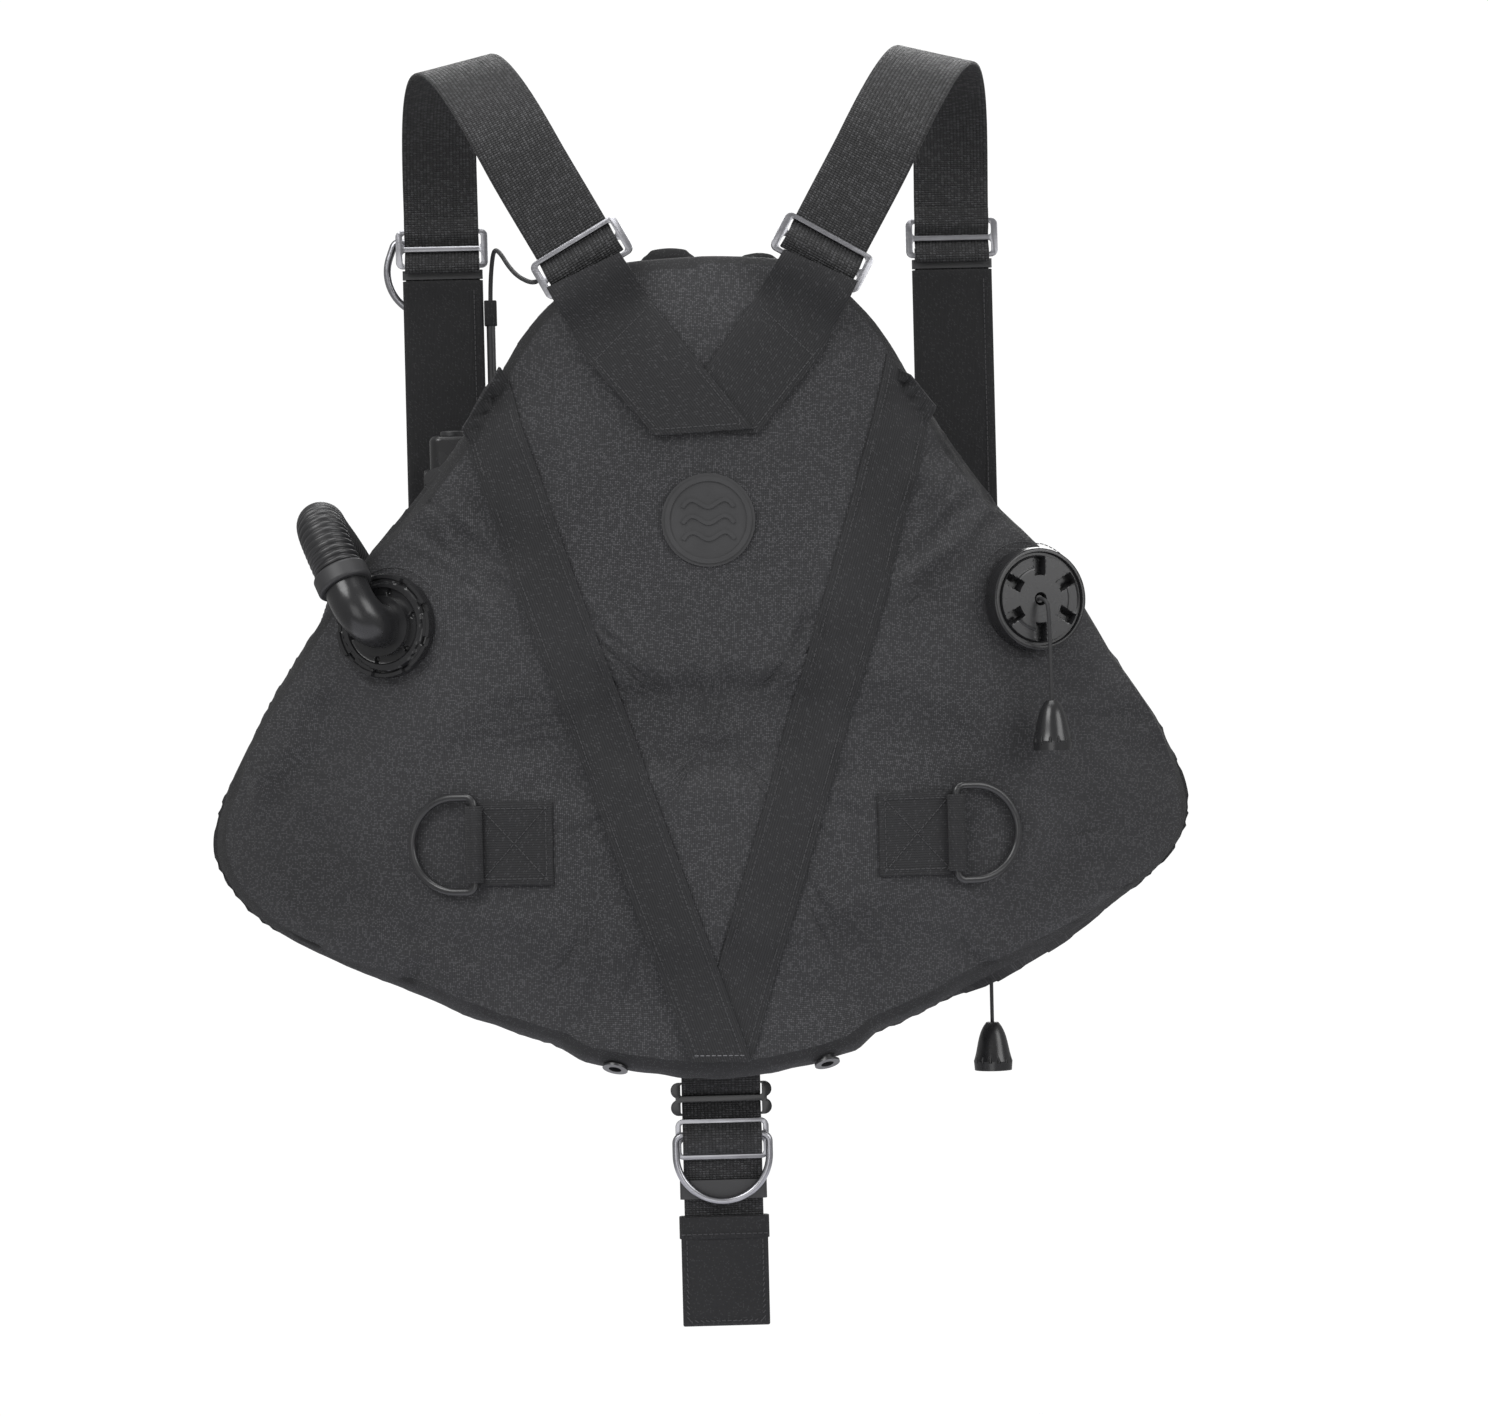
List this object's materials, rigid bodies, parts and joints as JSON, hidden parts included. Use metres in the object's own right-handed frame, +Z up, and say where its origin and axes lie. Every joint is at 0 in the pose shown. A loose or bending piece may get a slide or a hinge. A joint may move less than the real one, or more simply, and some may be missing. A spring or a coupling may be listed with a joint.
{
  "type": "buoyancy compensator vest",
  "caption": "Back-mounted diving buoyancy vest with a wrap-round air wing, webbing harness, inflator hose, dump valves and D-rings.",
  "frame": {"origin": "midway between the undersides of the two shoulder strap tops, where the vest hangs", "axes": "+Z up, +Y the way the diver faces, +X to the diver's right"},
  "size_m": [0.6489, 0.2565, 0.8159],
  "materials": {
    "panel_fabric": "woven",
    "binding_fabric": "plain weave",
    "bladder_film": "coated",
    "zip_coil": "coil zip",
    "zip_metal": "black",
    "ribbed_strap": "ribbed twill",
    "sleeve_fabric": "twill",
    "webbing": "basket weave",
    "moulded_rubber": "satin",
    "hose_rubber": "satin",
    "black_wire": "gloss black",
    "satin_steel": "satin",
    "black_plastic": "satin",
    "button_plastic": "matte",
    "mouth_rubber": "soft",
    "shock_cord": "braided",
    "stiff_fabric": "ballistic"
  },
  "bodies": {
    "vest": {"air_bladder": "bladder_film", "back_buckles": "satin_steel", "back_pad": "binding_fabric", "back_plate": "stiff_fabric", "badge_patch": "moulded_rubber", "bungee_cord": "shock_cord", "bungee_tube": "hose_rubber", "chest_buckles": "satin_steel", "chest_ring_loop": "sleeve_fabric", "chest_sleeve_left": "sleeve_fabric", "chest_sleeve_right": "sleeve_fabric", "chest_strap_left": "webbing", "chest_strap_right": "webbing", "collar_lobe_left": "binding_fabric", "collar_lobe_right": "binding_fabric", "corrugated_hose": "hose_rubber", "crotch_end_loop": "binding_fabric", "crotch_keeper": "moulded_rubber", "crotch_slider_black": "black_plastic", "crotch_slider_steel": "satin_steel", "crotch_strap": "webbing", "d_ring_tab_left": "ribbed_strap", "d_ring_tab_right": "ribbed_strap", "dump_valve_body": "black_plastic", "edge_gusset": "binding_fabric", "elbow": "black_plastic", "eyelets": "black_wire", "hose_cuff": "moulded_rubber", "inflator_body": "black_plastic", "inflator_flange": "black_plastic", "inner_panel": "panel_fabric", "lower_valve_body": "black_plastic", "mouthpiece": "mouth_rubber", "outer_panel": "panel_fabric", "shoulder_strap_left": "webbing", "shoulder_strap_right": "webbing", "strap_keepers": "moulded_rubber", "tube_keeper": "sleeve_fabric", "v_strap_left": "ribbed_strap", "v_strap_right": "ribbed_strap", "waist_belt_left": "webbing", "waist_belt_right": "webbing", "waist_buckle_frame": "satin_steel", "yoke_tab_left": "ribbed_strap", "yoke_tab_right": "ribbed_strap", "zip_tape": "zip_coil"},
    "back_d_ring_left_body": {"back_d_ring_left": "black_wire"},
    "back_d_ring_right_body": {"back_d_ring_right": "black_wire"},
    "chest_d_ring_body": {"chest_d_ring": "satin_steel"},
    "crotch_d_ring_body": {"crotch_d_ring": "satin_steel"},
    "waist_lever": {"waist_buckle_lever": "satin_steel"},
    "zip_pull": {"zip_slider": "zip_metal"},
    "dump_stem": {"dump_poppet": "button_plastic"},
    "dump_pull": {"dump_cord": "shock_cord", "dump_knob": "black_plastic"},
    "lower_stem": {"lower_poppet": "button_plastic"},
    "lower_pull": {"lower_cord": "shock_cord", "lower_knob": "black_plastic"},
    "inflate_press_body": {"inflate_button": "button_plastic"},
    "deflate_press_body": {"deflate_button": "button_plastic"}
  },
  "joints": [
    {"name": "back_ring_left_flip", "type": "hinge", "parent": "vest", "child": "back_d_ring_left_body", "pos_m": [-0.1506, -0.10961, -0.498], "axis": [0, 0, 1], "range_deg": [0, 160]},
    {"name": "back_ring_right_flip", "type": "hinge", "parent": "vest", "child": "back_d_ring_right_body", "pos_m": [0.1506, -0.10961, -0.498], "axis": [0, 0, -1], "range_deg": [0, 160]},
    {"name": "chest_ring_swing", "type": "hinge", "parent": "vest", "child": "chest_d_ring_body", "pos_m": [-0.176, 0.1165, -0.105], "axis": [0.9404, 0, -0.3401], "range_deg": [0, 120]},
    {"name": "crotch_ring_swing", "type": "hinge", "parent": "vest", "child": "crotch_d_ring_body", "pos_m": [0, -0.07565, -0.686], "axis": [-1, 0, 0], "range_deg": [0, 120]},
    {"name": "waist_lever_open", "type": "hinge", "parent": "vest", "child": "waist_lever", "pos_m": [0.022, 0.1124, -0.5], "axis": [0, 0, -1], "range_deg": [0, 110]},
    {"name": "zip_slide", "type": "slide", "parent": "vest", "child": "zip_pull", "axis": [0, 0, -1], "range_m": [0, 0.13]},
    {"name": "dump_pull_out", "type": "slide", "parent": "vest", "child": "dump_stem", "axis": [0.3759, -0.9266, 0], "range_m": [0, 0.006], "stiffness_N_per_m": 900},
    {"name": "dump_cord_swing", "type": "hinge", "parent": "dump_stem", "child": "dump_pull", "pos_m": [0.20762, -0.09679, -0.353], "axis": [0.3759, -0.9266, 0], "range_deg": [-45, 45]},
    {"name": "lower_pull_out", "type": "slide", "parent": "vest", "child": "lower_stem", "axis": [-0.3816, 0.9243, 0], "range_m": [0, 0.006], "stiffness_N_per_m": 900},
    {"name": "lower_cord_swing", "type": "hinge", "parent": "lower_stem", "child": "lower_pull", "pos_m": [0.18189, -0.02553, -0.556], "axis": [-0.3816, 0.9243, 0], "range_deg": [-30, 30]},
    {"name": "inflate_press", "type": "slide", "parent": "vest", "child": "inflate_press_body", "axis": [1, 0, 0], "range_m": [0, 0.003], "stiffness_N_per_m": 1500},
    {"name": "deflate_press", "type": "slide", "parent": "vest", "child": "deflate_press_body", "axis": [0, 0, -1], "range_m": [0, 0.003], "stiffness_N_per_m": 1500}
  ]
}
